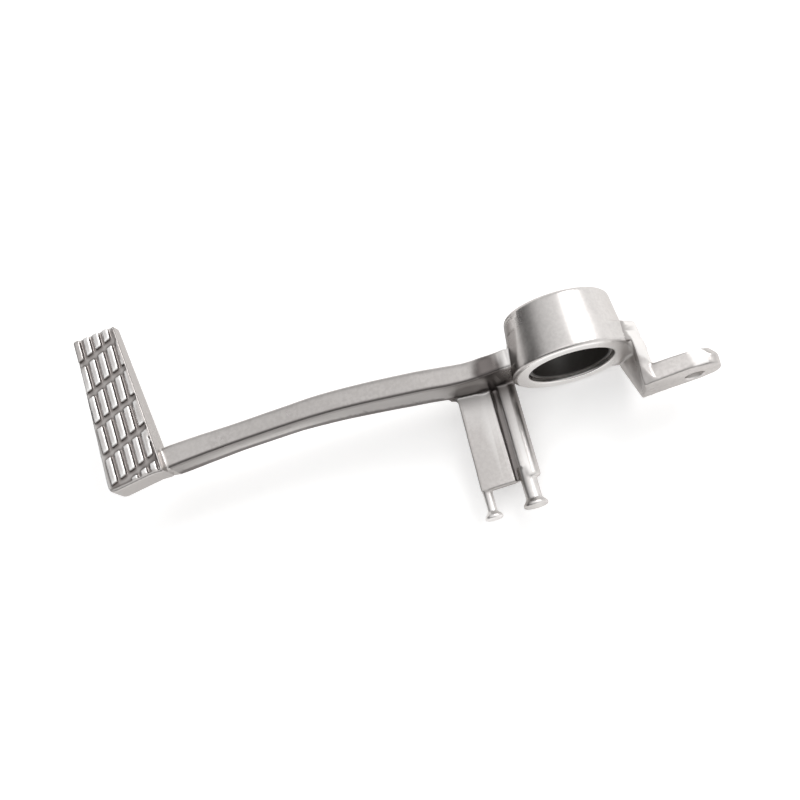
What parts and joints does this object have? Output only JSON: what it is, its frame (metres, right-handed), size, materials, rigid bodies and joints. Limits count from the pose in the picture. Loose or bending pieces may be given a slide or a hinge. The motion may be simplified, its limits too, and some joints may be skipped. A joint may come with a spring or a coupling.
{
  "type": "brake lever",
  "caption": "Foot brake lever: a bowed cast arm with a ribbed foot pad, a bushed pivot hub, a spring plate with headed posts and an ear for the pull rod.",
  "frame": {"origin": "centre of the pivot bore, halfway between the hub's two faces", "axes": "Y along the pivot axis, -Y the hub's wide outer face; -X toward the foot pad; +Z the way the pad's tread faces"},
  "size_m": [0.2039, 0.0992, 0.0388],
  "materials": {
    "cast_aluminium": "as cast, lightly tumbled, satin",
    "lined_bush": "steel bush with a dark low-friction lining"
  },
  "bodies": {
    "root": {"cast_lever": "cast_aluminium", "pivot_bush": "lined_bush"}
  },
  "joints": []
}
